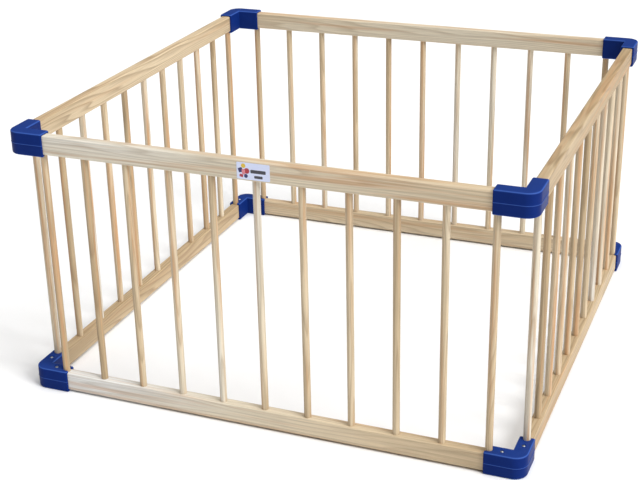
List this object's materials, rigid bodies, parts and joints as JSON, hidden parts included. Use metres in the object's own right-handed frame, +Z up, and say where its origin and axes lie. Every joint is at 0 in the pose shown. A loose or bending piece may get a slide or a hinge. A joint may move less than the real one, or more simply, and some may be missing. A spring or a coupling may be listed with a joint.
{
  "type": "playpen",
  "caption": "Square free-standing wooden playpen with barred panels of round dowels between rails, joined by moulded plastic corner brackets",
  "frame": {"origin": "on the floor, under the middle of the pen", "axes": "+Z up, front panel with the label at -Y, +X to the right seen from the front"},
  "size_m": [1.2, 1.2, 0.648],
  "materials": {
    "rail_pine": "sanded bare pine, long straight grain",
    "dowel_pine": "turned bare pine, grain along the dowel",
    "blue_plastic": "satin moulded plastic",
    "zinc_screw": "zinc plated",
    "label_film": null
  },
  "bodies": {
    "root": {"front_bottom_rail": "rail_pine", "front_top_rail": "rail_pine", "right_bottom_rail": "rail_pine", "right_top_rail": "rail_pine", "back_bottom_rail": "rail_pine", "back_top_rail": "rail_pine", "left_bottom_rail": "rail_pine", "left_top_rail": "rail_pine", "front_left_bottom_bracket": "blue_plastic", "front_left_top_bracket": "blue_plastic", "front_right_bottom_bracket": "blue_plastic", "front_right_top_bracket": "blue_plastic", "back_right_bottom_bracket": "blue_plastic", "back_right_top_bracket": "blue_plastic", "back_left_bottom_bracket": "blue_plastic", "back_left_top_bracket": "blue_plastic", "front_end_dowels": "dowel_pine", "right_end_dowels": "dowel_pine", "back_end_dowels": "dowel_pine", "left_end_dowels": "dowel_pine", "front_dowel_02": "dowel_pine", "front_dowel_03": "dowel_pine", "front_dowel_04": "dowel_pine", "front_dowel_05": "dowel_pine", "front_dowel_06": "dowel_pine", "front_dowel_07": "dowel_pine", "front_dowel_08": "dowel_pine", "front_dowel_09": "dowel_pine", "front_dowel_10": "dowel_pine", "right_dowel_02": "dowel_pine", "right_dowel_03": "dowel_pine", "right_dowel_04": "dowel_pine", "right_dowel_05": "dowel_pine", "right_dowel_06": "dowel_pine", "right_dowel_07": "dowel_pine", "right_dowel_08": "dowel_pine", "right_dowel_09": "dowel_pine", "right_dowel_10": "dowel_pine", "back_dowel_02": "dowel_pine", "back_dowel_03": "dowel_pine", "back_dowel_04": "dowel_pine", "back_dowel_05": "dowel_pine", "back_dowel_06": "dowel_pine", "back_dowel_07": "dowel_pine", "back_dowel_08": "dowel_pine", "back_dowel_09": "dowel_pine", "back_dowel_10": "dowel_pine", "left_dowel_02": "dowel_pine", "left_dowel_03": "dowel_pine", "left_dowel_04": "dowel_pine", "left_dowel_05": "dowel_pine", "left_dowel_06": "dowel_pine", "left_dowel_07": "dowel_pine", "left_dowel_08": "dowel_pine", "left_dowel_09": "dowel_pine", "left_dowel_10": "dowel_pine", "bottom_bracket_screws": "zinc_screw", "top_bracket_screws": "zinc_screw", "picture_label": "label_film"}
  },
  "joints": []
}
